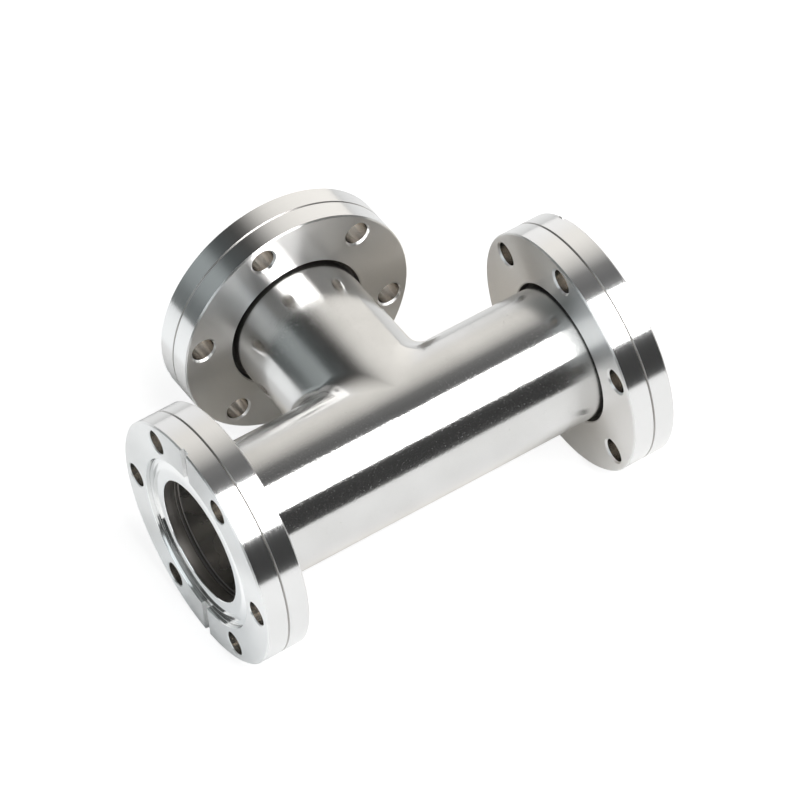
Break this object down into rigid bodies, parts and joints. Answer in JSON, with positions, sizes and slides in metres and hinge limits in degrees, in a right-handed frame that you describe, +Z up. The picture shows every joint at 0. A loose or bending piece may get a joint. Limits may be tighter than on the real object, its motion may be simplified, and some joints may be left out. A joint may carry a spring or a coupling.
{
  "type": "vacuum flange tee",
  "caption": "Equal vacuum tee of polished stainless tube with knife-edge flanges whose bolt rings turn freely, for joining vacuum lines at right angles.",
  "frame": {"origin": "where the axis of the run and the axis of the branch cross", "axes": "+X along the run towards the right port, +Y along the branch towards its port, +Z up, square to the plane of the tee, which lies on its three rims"},
  "size_m": [0.125, 0.0971, 0.0692],
  "materials": {
    "polished_tube": "polished stainless steel with fine scratches",
    "turned_insert": "fine-turned stainless steel",
    "turned_ring": "fine-turned stainless steel",
    "spring_wire": "drawn stainless wire"
  },
  "bodies": {
    "tee": {"tee_body": "polished_tube", "weld_insert_left": "turned_insert", "weld_insert_right": "turned_insert", "weld_insert_branch": "turned_insert", "retaining_wire_left": "spring_wire", "retaining_wire_right": "spring_wire", "retaining_wire_branch": "spring_wire"},
    "left_ring": {"bolt_ring_left": "turned_ring"},
    "right_ring": {"bolt_ring_right": "turned_ring"},
    "branch_ring": {"bolt_ring_branch": "turned_ring"}
  },
  "joints": [
    {"name": "left_ring_turn", "type": "hinge", "parent": "tee", "child": "left_ring", "pos_m": [-0.0625, 0, 0], "axis": [-1, 0, 0], "continuous": true},
    {"name": "right_ring_turn", "type": "hinge", "parent": "tee", "child": "right_ring", "pos_m": [0.0625, 0, 0], "axis": [1, 0, 0], "continuous": true},
    {"name": "branch_ring_turn", "type": "hinge", "parent": "tee", "child": "branch_ring", "pos_m": [0, 0.0625, 0], "axis": [0, 1, 0], "continuous": true}
  ]
}
